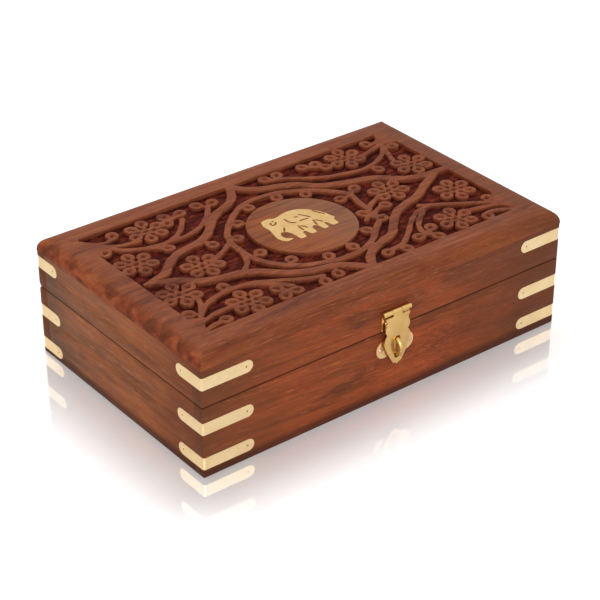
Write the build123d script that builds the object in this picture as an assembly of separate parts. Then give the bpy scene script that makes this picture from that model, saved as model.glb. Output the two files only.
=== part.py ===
from build123d import *
import math
import os

# A hinged wooden jewelry box with a relief-carved lid, brass corner strips and a brass hasp.
# Millimetres. The origin is the middle of the footprint on the underside of the box.
# +X runs to the right along the front, -Y is the front and +Z is up.

# Box
box_length = 203.0
box_width = 127.0
box_height = 60.0
seam_height = 35.0
seam_gap = 0.4
board_thickness = 6.0
top_thickness = 7.0
top_round_radius = 6.5
corner_round_radius = 0.5

# Bottom panel, let into a rebate of the base boards
bottom_thickness = 4.0
rebate_lip = 3.0
panel_clearance = 0.1

# Velvet-covered linings. Their upper edges carry the lid, which leaves the fine seam.
floor_lining_thickness = 1.5
wall_lining_thickness = 1.2

# Carved field of the lid
border_x = 13.0
border_y = 14.0
carving_depth = 2.4
medallion_radius = 25.6
medallion_centre = (101.0, 62.3)
vine_width = 4.1
ring_vine_width = 2.9
stem_width = 2.4
petal_count = 6
petal_radius = 3.4
petal_reach = 7.1
petal_sides = 7
flower_heart_radius = 4.6
flower_heart_sides = 12
bud_radius = 3.4
bud_sides = 6
# The carving is drawn on a lid of this size and stretches with the box.
drawn_length = 203.0
drawn_width = 127.0

# Brass elephant let into the medallion
elephant_thickness = 1.2
inlay_clearance = 0.1

# Corner strips, let in flush: the heights of their middles and the lengths of their legs
strip_lower_height = 6.0
strip_upper_below_seam = 11.7
strip_lid_below_top = 12.7
strip_front_leg = 25.0
strip_side_leg = 17.0
strip_width = 6.0
strip_thickness = 1.0
strip_clearance = 0.06
strip_end_sides = 12

# Hasp
hasp_x = 1.7
hasp_axis_above_seam = 9.0
hasp_knuckle_radius = 1.3
hasp_pin_radius = 0.6
hasp_width = 15.6
hasp_knuckle_gap = 0.12
hasp_plate_thickness = 0.7
hasp_plate_drop = 8.3
hasp_leaf_thickness = 0.8
slot_width = 3.2
slot_length = 11.3
slot_top_below_axis = 12.2

# Staple
staple_plate_thickness = 0.9
staple_plate_length = 21.2
staple_ear_radius = 4.4
staple_waist_width = 7.4
staple_below_seam = 8.9
staple_ring_radius = 4.1
staple_wire_radius = 1.05
staple_wire_sides = 8
staple_shank_depth = 3.5
staple_hole_clearance = 0.04

# Round-headed brass nails of the hasp, with square shanks
nail_half_width = 0.5
nail_head_radius = 1.2
nail_crown_radius = 0.7
nail_head_height = 0.55
nail_depth = 4.5
nail_head_sides = 10
nail_hole_clearance = 0.03
hasp_nail_reach = 4.7
hasp_nail_rise = 2.9
staple_nail_reach = 8.3

# Back hinges
hinge_from_end = 39.5
hinge_length = 25.0
hinge_knuckle_radius = 1.6
hinge_pin_radius = 0.75
hinge_leaf_thickness = 0.8
hinge_leaf_gap = 0.2
hinge_knuckle_gap = 0.15
hinge_knuckle_count = 3
hinge_wood_clearance = 0.25
hinge_screw_spacing = 16.0
hinge_screw_radius = 0.6
hinge_screw_head_radius = 1.1
hinge_screw_head_height = 0.5
hinge_screw_length = 5.0
hinge_screw_sides = 8
screw_hole_clearance = 0.03
pin_clearance = 0.05
cut_overrun = 1.0
lid_opening = 98.0
lid_stop_margin = 1.0

# Places that follow from the sizes above
half_x = box_length / 2
half_y = box_width / 2
inner_x = half_x - board_thickness
inner_y = half_y - board_thickness
base_rim = seam_height - seam_gap / 2
lid_rim = seam_height + seam_gap / 2
top_underside = box_height - top_thickness
hasp_axis_y = -half_y - hasp_knuckle_radius
hasp_axis_height = seam_height + hasp_axis_above_seam
hinge_axis_y = half_y - hinge_knuckle_radius
staple_height = seam_height - staple_below_seam

# Strips were let in by hand, so those of every corner lie a little off the sizes above:
# (x side, y side), (how much higher are the lower, upper and lid strips), (how much longer
# are the front leg and the side leg)
corners = {
    "front_left": ((-1, -1), (0.8, 1.0, -0.9), (1.3, 1.0)),
    "front_right": ((1, -1), (0.9, -0.1, 0.6), (-0.8, 0.4)),
    "back_left": ((-1, 1), (-1.1, -0.9, 0.4), (0.4, -0.8)),
    "back_right": ((1, 1), (0.0, -0.1, 0.0), (0.2, -0.2)),
}
strip_heights = {
    "lower": strip_lower_height,
    "upper": seam_height - strip_upper_below_seam,
    "lid": box_height - strip_lid_below_top,
}

os.makedirs("parts", exist_ok=True)


def slab(x_range, y_range, z_range):
    """A plain block between two limits along each axis."""
    size = [high - low for low, high in (x_range, y_range, z_range)]
    middle = [(high + low) / 2 for low, high in (x_range, y_range, z_range)]
    return Pos(*middle) * Box(*size)


def rod(axis, centre, radius, length):
    """A cylinder along X, Y or Z, centred on a point."""
    turn = {"X": Rot(0, 90, 0), "Y": Rot(90, 0, 0), "Z": Rot(0, 0, 0)}[axis]
    return Pos(*centre) * turn * Cylinder(radius, length)


def save(name, shape):
    export_step(shape, f"parts/{name}.step")


def group(shapes):
    """Separate solids that share one node."""
    return Compound([solid for shape in shapes for solid in shape.solids()])


# The outside of the box: a block with rounded top edges and eased upright corners.


def arched(plane, width, length):
    """A block whose two long top edges are rounded."""
    section = Pos(0, box_height / 2) * Rectangle(width, box_height)
    section = fillet(section.vertices().group_by(Axis.Y)[-1], top_round_radius)
    return extrude(plane * section, length / 2, both=True)


outside = arched(Plane.YZ, box_width, box_length) & arched(Plane.XZ, box_length, box_width)
footprint = RectangleRounded(box_length, box_width, corner_round_radius)
outside = outside & extrude(footprint, box_height)

# Corner strips


def strip_leg(length, grow):
    """One leg's outline, from the corner outwards, with its round end."""
    straight = length - strip_width / 2
    bar = Pos(straight / 2, 0) * Rectangle(straight, strip_width + 2 * grow)
    return bar + Pos(straight, 0) * RegularPolygon(strip_width / 2 + grow, strip_end_sides)


def leg_planes(sides, height):
    """The planes of the two faces that meet at a corner, each with X along its leg."""
    corner = (sides[0] * half_x, sides[1] * half_y, height)
    front = Plane(origin=corner, x_dir=(-sides[0], 0, 0), z_dir=(0, sides[1], 0))
    side = Plane(origin=corner, x_dir=(0, -sides[1], 0), z_dir=(sides[0], 0, 0))
    return front, side


def strip_body(sides, height, legs, grow=0.0):
    """A strip wrapped round its corner, flush with the outside of the box."""
    wrapped = Part()
    for plane, length in zip(leg_planes(sides, height), legs):
        wrapped += extrude(plane * strip_leg(length, grow), -strip_thickness)
    return wrapped & outside


strip_recesses = Part()
for corner, (sides, raised, lengthened) in corners.items():
    legs = (strip_front_leg + lengthened[0], strip_side_leg + lengthened[1])
    for level, shift in zip(strip_heights, raised):
        height = strip_heights[level] + shift
        strip_recesses += strip_body(sides, height, legs, strip_clearance)
        node = f"lid_{corner}_strip" if level == "lid" else f"base_{corner}_{level}_strip"
        save(node, strip_body(sides, height, legs))

# Round-headed nails, pointing in from the front face


def nail(x, face_y, z, grow=0.0):
    """A nail whose low domed head sits on a plate whose front is at face_y."""
    reach = nail_half_width + grow
    shank = slab((x - reach, x + reach), (face_y, face_y + nail_depth + grow), (z - reach, z + reach))
    if grow:
        return shank
    rim = RegularPolygon(nail_head_radius, nail_head_sides)
    crown = RegularPolygon(nail_crown_radius, nail_head_sides)
    head = loft([rim, Pos(0, 0, nail_head_height) * crown], ruled=True)
    return shank + Pos(x, face_y, z) * Rot(90, 0, 0) * head


# Hasp: a plate fixed to the lid, a leaf that hangs from it and the pin between them


def hasp_knuckles(start, end, clearance):
    """The barrel between two places across the hasp."""
    width = end - start - 2 * clearance
    centre = (hasp_x + (start + end) / 2, hasp_axis_y, hasp_axis_height)
    return rod("X", centre, hasp_knuckle_radius, width)


hasp_bore = rod(
    "X",
    (hasp_x, hasp_axis_y, hasp_axis_height),
    hasp_pin_radius + pin_clearance,
    hasp_width + 2 * cut_overrun,
)
half_hasp = hasp_width / 2
half_middle = hasp_width / 6

plate_front = -half_y - hasp_plate_thickness
plate_bottom = hasp_axis_height - hasp_plate_drop
hasp_plate = slab(
    (hasp_x - half_hasp, hasp_x + half_hasp),
    (plate_front, -half_y),
    (plate_bottom, hasp_axis_height),
)
middle_room = rod(
    "X",
    (hasp_x, hasp_axis_y, hasp_axis_height),
    hasp_knuckle_radius + hasp_knuckle_gap,
    2 * half_middle,
)
hasp_plate -= middle_room
hasp_plate += hasp_knuckles(-half_hasp, -half_middle, 0.0)
hasp_plate += hasp_knuckles(half_middle, half_hasp, 0.0)
hasp_plate -= hasp_bore
hasp_nail_height = plate_bottom + hasp_nail_rise
hasp_nail_spots = [(hasp_x + side * hasp_nail_reach, hasp_nail_height) for side in (-1, 1)]
hasp_nail_holes = [nail(x, plate_front, z, nail_hole_clearance) for x, z in hasp_nail_spots]
hasp_plate -= hasp_nail_holes
save("hasp_fixed_plate", hasp_plate)
save("hasp_plate_nails", group(nail(x, plate_front, z) for x, z in hasp_nail_spots))

hasp_pin = rod("X", (hasp_x, hasp_axis_y, hasp_axis_height), hasp_pin_radius, hasp_width)
save("hasp_pin", hasp_pin)


def arcs(points):
    """Arcs in a row: each starts where the last one ends and passes through the point between."""
    return [ThreePointArc(*points[first : first + 3]) for first in range(0, len(points) - 1, 2)]


# The leaf's edge from the shoulder to the toe, as (half width, distance below the pin), drawn
# for a hasp of a given width. Each arc runs through the point between its two ends.
drawn_hasp_width = 15.6
leaf_scale = hasp_width / drawn_hasp_width
leaf_edge = [
    (6.9, 1.7), (6.4, 3.4), (5.3, 4.6), (6.95, 7.0), (5.8, 10.3), (7.4, 13.6), (6.7, 17.0),
    (4.95, 21.0), (2.2, 25.6),
]
leaf_toe_end = 26.7
leaf_toe_radius = 2.9


def leaf_outline():
    """The leaf's lobed shape, drawn on one side of its middle line and mirrored."""
    points = [(leaf_scale * half_width, -leaf_scale * below) for half_width, below in leaf_edge]
    top = (0, points[0][1])
    toe_end = (0, -leaf_toe_end)
    toe = RadiusArc(points[-1], toe_end, -leaf_toe_radius)
    half = make_face(Curve() + [Line(top, points[0]), *arcs(points), toe, Line(toe_end, top)])
    return half + mirror(half, about=Plane.YZ)


leaf_back = hasp_axis_y - hasp_knuckle_radius + hasp_leaf_thickness
leaf_plane = Plane(origin=(hasp_x, leaf_back, hasp_axis_height), x_dir=(1, 0, 0), z_dir=(0, -1, 0))
hasp_leaf = extrude(leaf_plane * leaf_outline(), hasp_leaf_thickness)
neck_half = half_middle - hasp_knuckle_gap
hasp_leaf += slab(
    (hasp_x - neck_half, hasp_x + neck_half),
    (leaf_back - hasp_leaf_thickness, leaf_back),
    (hasp_axis_height - 2 * hasp_knuckle_radius, hasp_axis_height),
)
hasp_leaf += hasp_knuckles(-half_middle, half_middle, hasp_knuckle_gap)
hasp_leaf -= hasp_bore
slot_middle = slot_top_below_axis + slot_length / 2
slot = leaf_plane * Pos(0, -slot_middle) * SlotOverall(slot_length, slot_width, rotation=90)
hasp_leaf -= extrude(slot, 3 * hasp_leaf_thickness, both=True)
save("hasp_leaf", hasp_leaf)

# Staple: an eared plate on the base and a half ring that stands through the leaf's slot

staple_front = -half_y - staple_plate_thickness
ear_reach = staple_plate_length / 2 - staple_ear_radius
staple_outline = Rectangle(2 * ear_reach, staple_waist_width)
for side in (-1, 1):
    staple_outline += Pos(side * ear_reach, 0) * Circle(staple_ear_radius)
staple_plane = Plane(origin=(hasp_x, -half_y, staple_height), x_dir=(1, 0, 0), z_dir=(0, -1, 0))
staple_plate = extrude(staple_plane * staple_outline, staple_plate_thickness)

staple_wire = RegularPolygon(staple_wire_radius, staple_wire_sides)
staple_hole = RegularPolygon(staple_wire_radius + staple_hole_clearance, staple_wire_sides)
ring_plane = Plane(origin=(hasp_x, staple_front, staple_height), x_dir=(1, 0, 0), z_dir=(0, -1, 0))
ring_top = ring_plane * Pos(0, staple_ring_radius)
ring_bottom = ring_plane * Pos(0, -staple_ring_radius)
shank_length = staple_plate_thickness + staple_shank_depth
ring_axis = Axis((hasp_x, staple_front, staple_height), (1, 0, 0))
staple_loop = revolve(ring_top * staple_wire, ring_axis, 180)
staple_shank_holes = []
for foot in (ring_top, ring_bottom):
    staple_loop += extrude(foot * staple_wire, -shank_length)
    staple_shank_holes.append(extrude(foot * staple_hole, -shank_length - staple_hole_clearance))
save("staple_loop", staple_loop)

staple_nail_spots = [(hasp_x + side * staple_nail_reach, staple_height) for side in (-1, 1)]
staple_nail_holes = [nail(x, staple_front, z, nail_hole_clearance) for x, z in staple_nail_spots]
save("staple_plate", staple_plate - staple_nail_holes - staple_shank_holes)
save("staple_plate_nails", group(nail(x, staple_front, z) for x, z in staple_nail_spots))

# Back hinges: each has a leaf let into each rim, interleaved knuckles, a pin and screws

knuckle_pitch = hinge_length / hinge_knuckle_count
leaf_depth = hinge_axis_y - inner_y


def hinge_rod(x, radius, length):
    return rod("X", (x, hinge_axis_y, seam_height), radius, length)


def knuckle_places(x_middle, on_lid):
    """The middles of one leaf's knuckles: the base leaf has the outer ones."""
    first = x_middle - hinge_length / 2 + knuckle_pitch / 2
    start = 1 if on_lid else 0
    return [first + step * knuckle_pitch for step in range(start, hinge_knuckle_count, 2)]


def hinge_leaf_block(x_middle, on_lid, grow=0.0):
    """The flat of a leaf, or the pocket for it in the rim."""
    near = hinge_leaf_gap / 2
    far = near + hinge_leaf_thickness
    side = 1 if on_lid else -1
    z_range = sorted((seam_height + side * (0 if grow else near), seam_height + side * far))
    reach = hinge_length / 2 + grow
    return slab((x_middle - reach, x_middle + reach), (inner_y - grow, hinge_axis_y), z_range)


def hinge_screws(x_middle, on_lid, grow=0.0):
    """Countersunk screws through one leaf into the rim behind it."""
    side = 1 if on_lid else -1
    face = seam_height + side * hinge_leaf_gap / 2
    shank_section = RegularPolygon(hinge_screw_radius + grow, hinge_screw_sides)
    head_section = RegularPolygon(hinge_screw_head_radius + grow, hinge_screw_sides)
    head = loft([Pos(0, 0, -hinge_screw_head_height) * shank_section, head_section], ruled=True)
    shank = extrude(shank_section, -hinge_screw_length - grow)
    turn = Rot(180, 0, 0) if on_lid else Rot(0, 0, 0)
    y_middle = inner_y + (leaf_depth - hinge_knuckle_radius) / 2
    places = [x_middle + step * hinge_screw_spacing / 2 for step in (-1, 1)]
    return [Pos(x, y_middle, face) * turn * (head + shank) for x in places]


def hinge_notch(x):
    """The room in a leaf for a knuckle of the other leaf."""
    near = hinge_axis_y - hinge_knuckle_radius - hinge_knuckle_gap
    z_range = (seam_height - hinge_knuckle_radius, seam_height + hinge_knuckle_radius)
    return slab((x - knuckle_pitch / 2, x + knuckle_pitch / 2), (near, hinge_axis_y), z_range)


def hinge_leaf(x_middle, on_lid):
    leaf = hinge_leaf_block(x_middle, on_lid)
    leaf -= [hinge_notch(x) for x in knuckle_places(x_middle, not on_lid)]
    for x in knuckle_places(x_middle, on_lid):
        leaf += hinge_rod(x, hinge_knuckle_radius, knuckle_pitch - hinge_knuckle_gap)
    leaf -= hinge_rod(x_middle, hinge_pin_radius + pin_clearance, hinge_length + 2 * cut_overrun)
    return leaf - hinge_screws(x_middle, on_lid, screw_hole_clearance)


hinge_cuts = {False: Part(), True: Part()}
screws = {False: [], True: []}
for side_name, side in (("left", -1), ("right", 1)):
    x_middle = side * (half_x - hinge_from_end)
    barrel_room = hinge_rod(
        x_middle,
        hinge_knuckle_radius + hinge_wood_clearance,
        hinge_length + 2 * hinge_wood_clearance,
    )
    for on_lid, body in ((False, "base"), (True, "lid")):
        save(f"{side_name}_hinge_{body}_leaf", hinge_leaf(x_middle, on_lid))
        hinge_cuts[on_lid] += hinge_leaf_block(x_middle, on_lid, panel_clearance)
        hinge_cuts[on_lid] += barrel_room
        hinge_cuts[on_lid] += hinge_screws(x_middle, on_lid, screw_hole_clearance)
        screws[on_lid] += hinge_screws(x_middle, on_lid)
    save(f"{side_name}_hinge_pin", hinge_rod(x_middle, hinge_pin_radius, hinge_length))
save("base_hinge_screws", group(screws[False]))
save("lid_hinge_screws", group(screws[True]))

# The back rims are bevelled from the hinge axis outwards. The bevels meet when the lid is
# thrown back, and hold it there.

bevel_angle = (lid_opening + lid_stop_margin) / 2
bevel_run = half_y - hinge_axis_y + cut_overrun
bevel_rise = bevel_run * math.tan(math.radians(bevel_angle))
bevel_section = make_face(
    Polyline(
        (hinge_axis_y, seam_height),
        (hinge_axis_y + bevel_run, seam_height - bevel_rise),
        (hinge_axis_y + bevel_run, seam_height + bevel_rise),
        close=True,
    )
)
back_bevel = extrude(Plane.YZ * bevel_section, box_length, both=True)

# Boards. The long front and back boards cover the ends of the side boards.

lengthways = (-half_x, half_x)
between = (-inner_y, inner_y)
front_band = (-half_y, -inner_y)
back_band = (inner_y, half_y)
left_band = (-half_x, -inner_x)
right_band = (inner_x, half_x)
places = {
    "front": (lengthways, front_band),
    "back": (lengthways, back_band),
    "left": (left_band, between),
    "right": (right_band, between),
}

panel_x = inner_x + board_thickness - rebate_lip
panel_y = inner_y + board_thickness - rebate_lip
bottom_panel = slab((-panel_x, panel_x), (-panel_y, panel_y), (0, bottom_thickness))
save("base_bottom_panel", bottom_panel)
rebate_x = panel_x + panel_clearance
rebate_y = panel_y + panel_clearance
rebate = slab((-rebate_x, rebate_x), (-rebate_y, rebate_y), (-cut_overrun, bottom_thickness))

staple_cuts = Part() + staple_nail_holes + staple_shank_holes
hasp_cuts = Part() + hasp_nail_holes
own_cuts = {
    ("base", "front"): staple_cuts,
    ("base", "back"): hinge_cuts[False] + back_bevel,
    ("lid", "front"): hasp_cuts,
    ("lid", "back"): hinge_cuts[True] + back_bevel,
}
for place, (x_range, y_range) in places.items():
    base_board = slab(x_range, y_range, (0, base_rim)) & outside
    base_board = base_board - rebate - strip_recesses
    lid_board = slab(x_range, y_range, (lid_rim, top_underside)) & outside
    lid_board = lid_board - strip_recesses
    if ("base", place) in own_cuts:
        base_board -= own_cuts["base", place]
        lid_board -= own_cuts["lid", place]
    save(f"base_{place}_board", base_board)
    save(f"lid_{place}_board", lid_board)

# Linings: velvet over thin card, glued to the floor, the walls and the underside of the top

lined_x = inner_x - wall_lining_thickness
lined_y = inner_y - wall_lining_thickness
floor_top = bottom_thickness + floor_lining_thickness
ceiling = top_underside - floor_lining_thickness
lining_places = {
    "front": ((-inner_x, inner_x), (-inner_y, -lined_y)),
    "back": ((-inner_x, inner_x), (lined_y, inner_y)),
    "left": ((-inner_x, -lined_x), (-lined_y, lined_y)),
    "right": ((lined_x, inner_x), (-lined_y, lined_y)),
}
lined_area = ((-inner_x, inner_x), (-inner_y, inner_y))
save("base_floor_lining", slab(*lined_area, (bottom_thickness, floor_top)))
save("lid_top_lining", slab(*lined_area, (ceiling, top_underside)))
for place, (x_range, y_range) in lining_places.items():
    save(f"base_{place}_lining", slab(x_range, y_range, (floor_top, seam_height)))
    save(f"lid_{place}_lining", slab(x_range, y_range, (seam_height, ceiling)))

# Elephant, walking to the left. Points are on the drawn lid, from its front left corner.


def carved(x, y):
    """A place on the drawn lid, carried to the lid of this box."""
    across = (x - drawn_length / 2) * box_length / drawn_length
    along = (y - drawn_width / 2) * box_width / drawn_width
    return (across, along)


elephant_back = [
    (87.4, 75.4), (91.4, 75.9), (94.9, 74.6), (102.5, 76.3), (109.3, 74.3), (115.0, 67.2),
    (117.2, 58.8),
]
elephant_legs = [
    (117.2, 58.8), (115.6, 57.9), (115.2, 53.4), (111.8, 53.2), (111.0, 57.4), (109.6, 57.6),
    (109.4, 53.1), (106.5, 52.9), (106.2, 57.0), (104.6, 58.6), (102.8, 57.6), (102.2, 52.7),
    (99.2, 52.9), (98.4, 57.0), (96.7, 56.6), (95.9, 52.3), (92.4, 52.1), (92.4, 57.2),
    (91.4, 60.8),
]
elephant_trunk_inside = [
    (91.4, 60.8), (88.9, 62.0), (87.2, 60.0), (87.3, 56.8), (89.9, 54.6),
]
elephant_trunk_outside = [
    (89.9, 54.6), (86.0, 54.2), (84.1, 58.3), (84.9, 62.6), (85.9, 67.0), (85.8, 71.5), (87.4, 75.4),
]


def pushed_out(loop, index, distance):
    """A point of a clockwise loop, moved outwards so that its sides move by the distance."""
    before, here, after = (Vector(*loop[(index + step) % len(loop)]) for step in (-1, 0, 1))
    along = (here - before).normalized() + (after - here).normalized()
    outward = Vector(-along.Y, along.X).normalized()
    return here + outward * (distance * 2 / along.length)


def elephant_outline(grow=0.0):
    """The figure's outline: a back and a trunk of arcs, and straight-sided legs."""
    runs = [elephant_back, elephant_legs, elephant_trunk_inside, elephant_trunk_outside]
    loop = [carved(*point) for run in runs for point in run[:-1]]
    loop = [pushed_out(loop, index, grow) for index in range(len(loop))]
    edges = []
    start = 0
    for run in runs:
        points = [loop[step % len(loop)] for step in range(start, start + len(run))]
        edges += [Polyline(*points)] if run is elephant_legs else arcs(points)
        start += len(run) - 1
    return make_face(Curve() + edges)


elephant_plane = Plane.XY.offset(box_height)
elephant_shape = elephant_outline()
elephant_recess = elephant_outline(inlay_clearance)
save("elephant_inlay", extrude(elephant_plane * elephant_shape, -elephant_thickness))

# Carving of the lid: what stands is drawn in plan and the ground round it is cut away

vines = [
    [(15, 62.2), (21.1, 63.2), (27.2, 64.6), (32.6, 69.5), (37.5, 73.4), (44.5, 76.4), (54.2, 78),
     (62, 81.8), (69.5, 89.2), (77, 95.2), (86, 98.9), (92.5, 104.8), (97.3, 114)],
    [(15, 61.6), (21.5, 59.8), (28.5, 56.4), (35.2, 50.6), (42.5, 47.3), (53.1, 45), (60.5, 41.4),
     (68.5, 33.7), (76, 28.7), (87.5, 25.4), (95, 21.4), (103.4, 12)],
    [(97.2, 113), (100.5, 107.2), (108, 102), (117.7, 98.1), (124.2, 94.8), (131.5, 87.4),
     (140.5, 83.4), (151.5, 79.9), (159.1, 76.4), (166.2, 70), (174.5, 66), (191, 64.8)],
    [(102, 12), (105.5, 19.6), (112, 25.5), (120.8, 28.9), (128.3, 31.8), (134.8, 38.4),
     (143, 45.6), (152, 49.2), (161, 51.8), (170.5, 57.8), (179.5, 62.4), (187, 64.6)],
]
ring_vines = [
    [(66.2, 70.5), (65.1, 63), (65.4, 54.3), (67.6, 46.6), (73.6, 38.2), (82.8, 31.9), (95.3, 28),
     (108.3, 28.3), (117.5, 32.6), (125, 39), (132.4, 45.2)],
    [(66.2, 70), (69, 76), (74.5, 82.6), (82.5, 89.4), (92.2, 94.7), (103, 95.7), (114, 93.2),
     (123.1, 88.2), (131.7, 80.3), (136.6, 72.2), (134.8, 61.5), (134.5, 55.8)],
]
stems = [
    [(17, 23.5), (21.2, 28.6), (27.2, 33.1), (34.5, 35.9), (43.5, 36.8), (53, 35), (62, 30.4),
     (70.6, 25), (80.5, 21.3)],
    [(49, 36.1), (55.7, 31.8), (60.8, 27.6), (65, 22.8)],
    [(16.5, 22.2), (23, 24), (30, 25), (36, 24.6)],
    [(12, 14.6), (18, 16.9), (24.5, 18.2)],
    [(17.5, 24.3), (22.7, 31), (25.6, 36.5), (26.4, 41)],
    [(12, 111.3), (17, 105.4), (22, 103.2), (26.6, 104.6)],
    [(17, 103.2), (21.4, 99.9), (27, 96.8), (35, 95.8)],
    [(20, 100), (23.4, 94.5), (28.8, 90.7), (35.5, 87), (40.5, 83)],
    [(34, 88.2), (42.6, 87), (49.5, 88.8), (56, 93.8), (61.5, 100.5)],
    [(44.5, 87), (54.2, 86.6), (62.5, 89.1), (70.5, 94.6), (78, 103.2)],
    [(49.5, 61), (57, 64.2), (65.8, 69.6)],
    [(65.2, 64), (64.2, 57.5), (61.6, 51.2), (56.5, 46)],
    [(184.8, 107.5), (181.5, 101.4), (176, 95.2), (168.5, 90.7), (159.5, 88.2), (149.7, 90),
     (139.5, 93), (130.5, 98), (124, 103.2), (116.5, 106.3)],
    [(181.2, 100.6), (176.1, 87.6)],
    [(186.5, 109.5), (181.5, 106.6), (176.5, 106)],
    [(184, 105.2), (178, 102.5), (172, 100.8), (166.5, 99.5)],
    [(154.9, 44.2), (160.5, 40.6), (168, 36.4), (177, 30.6), (185, 25)],
    [(158.5, 41.3), (149.7, 39.6), (141.9, 34.4), (134, 27.4), (126.3, 21.9), (118.4, 20.4)],
    [(152.5, 38.6), (147.2, 34.5), (142.6, 30), (139.9, 24.5)],
    [(185, 22.6), (178, 24.9), (169.5, 26.6)],
    [(188, 14.6), (181.5, 18.6), (175.5, 19.6)],
    [(127, 48), (132.6, 53.2), (138.8, 58.9), (146.8, 62.6)],
    [(131.5, 48.5), (136.5, 52.6), (143, 54.6)],
    [(136.4, 71.5), (141, 75.5)],
]
# Each flower: its centre and the way its first petal points, in degrees
flowers = [
    (42.2, 101.2, 15), (22.3, 79.3, 30), (22.3, 46.5, 22), (44.5, 60.5, 34), (42.2, 23.8, 28),
    (158.7, 102.7, 20), (180.2, 78.5, 19), (178.6, 46, 19), (154, 64.5, 34), (160.2, 24.6, 13),
]
buds = [
    (91.8, 90.8), (108, 90.8), (120.8, 85.2), (130.5, 71.4), (129.8, 54.2), (121.2, 41),
    (106.7, 33.4), (93, 33.2), (78.1, 40.9), (71.1, 54.2), (70.8, 70.8), (78.9, 82),
    (16.6, 95.7), (27.7, 107.2), (16, 30.8), (26.2, 18), (40.6, 40.2), (58.6, 72.8),
    (73.8, 107.3), (81.6, 105.5), (78.1, 16.9), (86.7, 18.8), (41.4, 82.4), (142.7, 76),
    (185.6, 98.8), (164.1, 84), (185.2, 30.5), (173.5, 17.2), (115.7, 19.6), (124.7, 17.2),
    (114.5, 108.6), (121.8, 108.8), (176.3, 108.2), (143.4, 54.3), (134.1, 45.7), (57.8, 25),
    (57.4, 18), (64.1, 18.8), (135.6, 21.9), (145.8, 25.4), (143.4, 17.2), (55.5, 107.2),
    (63.7, 105.9), (53.9, 101.6), (136.4, 107.8), (143.4, 106.4), (145.8, 101.2),
]
# The plain border runs out into each corner of the field as a blunt wedge.
wedges = [
    [(10, 29.5), (10, 13), (12.2, 13), (17.6, 21.6), (18.3, 24.6)],
    [(10, 95.6), (19.8, 97.5), (20.8, 99.8), (11, 112), (10, 112)],
    [(191, 34), (185, 25.8), (184.2, 22.6), (189.5, 13), (191, 13)],
    [(191, 101), (191, 113), (185.5, 113), (182, 105.5), (182.5, 102.6)],
]


def ribbon(points, width, count):
    """A vine of even width along a smooth line through its points, cut into a count of steps."""
    line = Spline(*[carved(*p) for p in points])
    left = []
    right = []
    for step in range(count + 1):
        place = line @ (step / count)
        along = line % (step / count)
        side = Vector(-along.Y, along.X) * (width / 2)
        left.append(place + side)
        right.append(place - side)
    return make_face(Polyline(*left, *reversed(right), close=True))


def flower_head(centre, first_turn):
    """A round heart with petals about it."""
    shapes = [RegularPolygon(flower_heart_radius, flower_heart_sides)]
    for step in range(petal_count):
        turn = Rot(0, 0, first_turn + 360 * step / petal_count)
        shapes.append(turn * Pos(petal_reach, 0) * RegularPolygon(petal_radius, petal_sides))
    return [Pos(*centre) * shape for shape in shapes]


standing = [ribbon(points, vine_width, 2 * len(points)) for points in vines]
standing += [ribbon(points, ring_vine_width, 2 * len(points)) for points in ring_vines]
standing += [ribbon(points, stem_width, len(points) + 1) for points in stems]
standing.append(Pos(*carved(*medallion_centre)) * Circle(medallion_radius))
standing += [Pos(*carved(*bud)) * RegularPolygon(bud_radius, bud_sides) for bud in buds]
for x, y, first_turn in flowers:
    standing += flower_head(carved(x, y), first_turn)

field_x = box_length - 2 * border_x
field_y = box_width - 2 * border_y
standing += [make_face(Polyline(*[carved(*p) for p in wedge], close=True)) for wedge in wedges]
ground = Rectangle(field_x, field_y) - (Sketch() + standing)
top_plane = Plane.XY.offset(box_height)
lid_top = slab(lengthways, (-half_y, half_y), (top_underside, box_height)) & outside
lid_top -= extrude(top_plane * elephant_recess, -elephant_thickness)
lid_top -= extrude(top_plane * ground, -carving_depth)
save("lid_top_panel", lid_top)
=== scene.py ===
import math

import bmesh
import bpy
import numpy as np
from mathutils import Matrix, Vector, noise


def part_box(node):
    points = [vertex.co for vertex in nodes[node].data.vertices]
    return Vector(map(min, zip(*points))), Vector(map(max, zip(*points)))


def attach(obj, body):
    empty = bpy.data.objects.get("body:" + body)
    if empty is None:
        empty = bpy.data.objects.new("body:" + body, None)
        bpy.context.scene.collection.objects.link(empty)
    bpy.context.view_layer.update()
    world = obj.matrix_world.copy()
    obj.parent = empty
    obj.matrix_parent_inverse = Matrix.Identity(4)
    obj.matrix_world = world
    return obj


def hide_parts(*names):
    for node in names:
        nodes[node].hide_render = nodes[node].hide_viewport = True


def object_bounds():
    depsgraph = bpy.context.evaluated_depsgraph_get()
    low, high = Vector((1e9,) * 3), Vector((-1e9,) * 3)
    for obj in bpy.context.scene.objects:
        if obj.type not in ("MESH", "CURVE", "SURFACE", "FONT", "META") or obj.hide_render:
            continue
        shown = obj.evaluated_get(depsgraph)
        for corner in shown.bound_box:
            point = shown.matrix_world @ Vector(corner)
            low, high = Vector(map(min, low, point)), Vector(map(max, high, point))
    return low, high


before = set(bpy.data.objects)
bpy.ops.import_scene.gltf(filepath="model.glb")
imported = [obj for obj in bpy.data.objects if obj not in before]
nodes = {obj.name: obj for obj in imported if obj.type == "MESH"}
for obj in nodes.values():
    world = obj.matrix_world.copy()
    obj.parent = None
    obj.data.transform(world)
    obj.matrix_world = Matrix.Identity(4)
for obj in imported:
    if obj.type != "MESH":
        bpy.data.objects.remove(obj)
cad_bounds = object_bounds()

# The lid's top is one thick rosewood board, carved in relief by hand with vines, flowers and
# buds round a plain disc. Its top edges are rounded over, the ground of the carving is punched
# rough and stained dark, and what stands is sanded nearly flush with the plain border. The
# stain is laid by depth, so that it also paints shade into the hollows and down the walls.

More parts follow.
